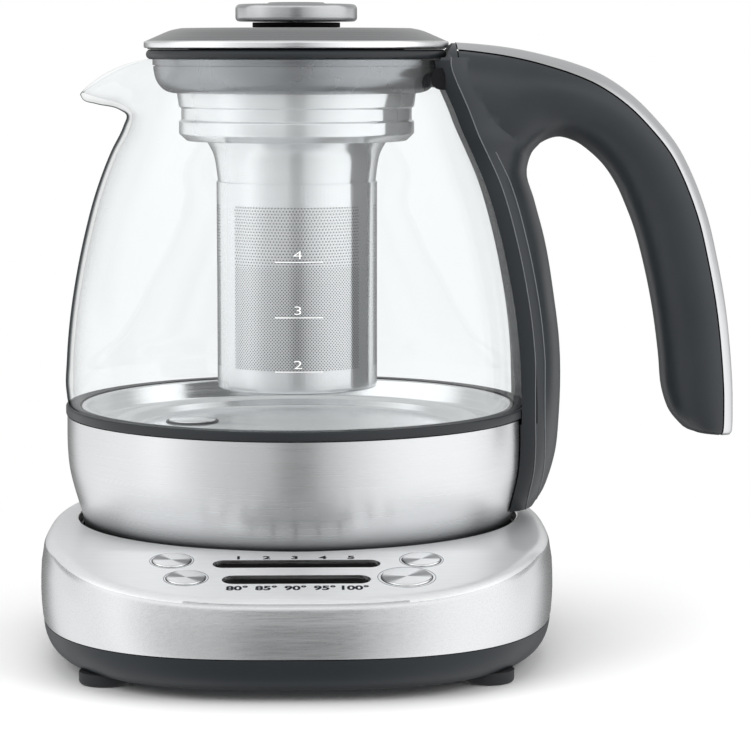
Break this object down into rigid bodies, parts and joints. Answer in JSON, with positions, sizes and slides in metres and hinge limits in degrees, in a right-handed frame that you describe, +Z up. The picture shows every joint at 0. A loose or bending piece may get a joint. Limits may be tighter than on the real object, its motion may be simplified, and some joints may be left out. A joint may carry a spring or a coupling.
{
  "type": "automatic tea maker",
  "caption": "Electric tea maker: glass jug with a steel infuser basket, lid and handle on a heated band, lifting off a switch base with a tilted button panel.",
  "frame": {"origin": "centre of the bottom of the object's box, on the surface that the feet stand on", "axes": "+X towards the jug's handle, -Y towards the control panel, +Z up"},
  "size_m": [0.2294, 0.203, 0.2094],
  "materials": {
    "cover_steel": "fine brushed, grain across",
    "band_steel": "fine brushed, grain round the band",
    "lid_steel": "satin, spun",
    "inlay_steel": "brushed along the handle",
    "button_steel": "spun",
    "basket_steel": "bright satin",
    "plate_steel": "polished",
    "screw_steel": "plain",
    "jug_glass": "clear",
    "tray_plastic": "satin",
    "handle_plastic": "satin",
    "window_plastic": "gloss",
    "black_plastic": "satin",
    "dark_rubber": "matt",
    "foot_rubber": "matt",
    "silicone": "soft satin",
    "aluminium": "cast",
    "brass": "plain",
    "board": "satin"
  },
  "bodies": {
    "base": {"base_cover": "cover_steel", "base_tray": "tray_plastic", "foot_1": "foot_rubber", "foot_2": "foot_rubber", "foot_3": "foot_rubber", "foot_4": "foot_rubber", "tray_screw_1": "screw_steel", "tray_screw_2": "screw_steel", "tray_screw_3": "screw_steel", "tray_screw_4": "screw_steel", "seat_dish": "tray_plastic", "base_connector": "black_plastic", "cord_inlet": "foot_rubber", "power_board": "board", "relay": "black_plastic", "transformer": "brass", "upper_window": "window_plastic", "lower_window": "window_plastic", "control_board": "board", "switch_1": "black_plastic", "switch_2": "black_plastic", "switch_3": "black_plastic", "switch_4": "black_plastic"},
    "steep_time_key": {"steep_time_button": "button_steel"},
    "temperature_key": {"temperature_button": "button_steel"},
    "timer_key": {"timer_button": "button_steel"},
    "start_key": {"start_button": "button_steel"},
    "jug_lift": {"jug_connector": "black_plastic", "connector_pin": "brass"},
    "jug": {"jug_glass": "jug_glass", "trim_gasket": "dark_rubber", "jug_band": "band_steel", "heater_plate": "plate_steel", "heat_spreader": "aluminium", "heating_element": "aluminium", "temperature_sensor": "plate_steel", "thermostat": "black_plastic", "jug_base_cover": "tray_plastic", "jug_screw_1": "screw_steel", "jug_screw_2": "screw_steel", "jug_screw_3": "screw_steel", "handle_shell": "handle_plastic", "handle_saddle": "handle_plastic", "handle_inlay": "inlay_steel", "handle_screw_1": "screw_steel", "handle_screw_2": "screw_steel"},
    "basket": {"basket_collar": "basket_steel", "basket_tube": "basket_steel", "basket_floor": "basket_steel", "basket_gasket": "silicone"},
    "lid": {"lid_cover": "lid_steel", "lid_insert": "tray_plastic", "lid_seal": "silicone", "knob_neck": "handle_plastic", "knob_cap": "lid_steel", "knob_screw": "screw_steel"}
  },
  "joints": [
    {"name": "steep_time_press", "type": "slide", "parent": "base", "child": "steep_time_key", "axis": [0, 0.1668, -0.986], "range_m": [0, 0.0008], "stiffness_N_per_m": 500, "springref_m": -0.0005},
    {"name": "temperature_press", "type": "slide", "parent": "base", "child": "temperature_key", "axis": [0, 0.1668, -0.986], "range_m": [0, 0.0008], "stiffness_N_per_m": 500, "springref_m": -0.0005},
    {"name": "timer_press", "type": "slide", "parent": "base", "child": "timer_key", "axis": [0, 0.1668, -0.986], "range_m": [0, 0.0008], "stiffness_N_per_m": 500, "springref_m": -0.0005},
    {"name": "start_press", "type": "slide", "parent": "base", "child": "start_key", "axis": [0, 0.1668, -0.986], "range_m": [0, 0.0008], "stiffness_N_per_m": 500, "springref_m": -0.0005},
    {"name": "jug_lift", "type": "slide", "parent": "base", "child": "jug_lift", "axis": [0, 0, 1], "range_m": [0, 0.12]},
    {"name": "jug_turn", "type": "hinge", "parent": "jug_lift", "child": "jug", "pos_m": [-0.03168, 0.0174, 0.04], "axis": [0, 0, 1], "continuous": true},
    {"name": "basket_lift", "type": "slide", "parent": "jug", "child": "basket", "axis": [0, 0, 1], "range_m": [0, 0.13]},
    {"name": "lid_lift", "type": "slide", "parent": "basket", "child": "lid", "axis": [0, 0, 1], "range_m": [0, 0.04]}
  ]
}
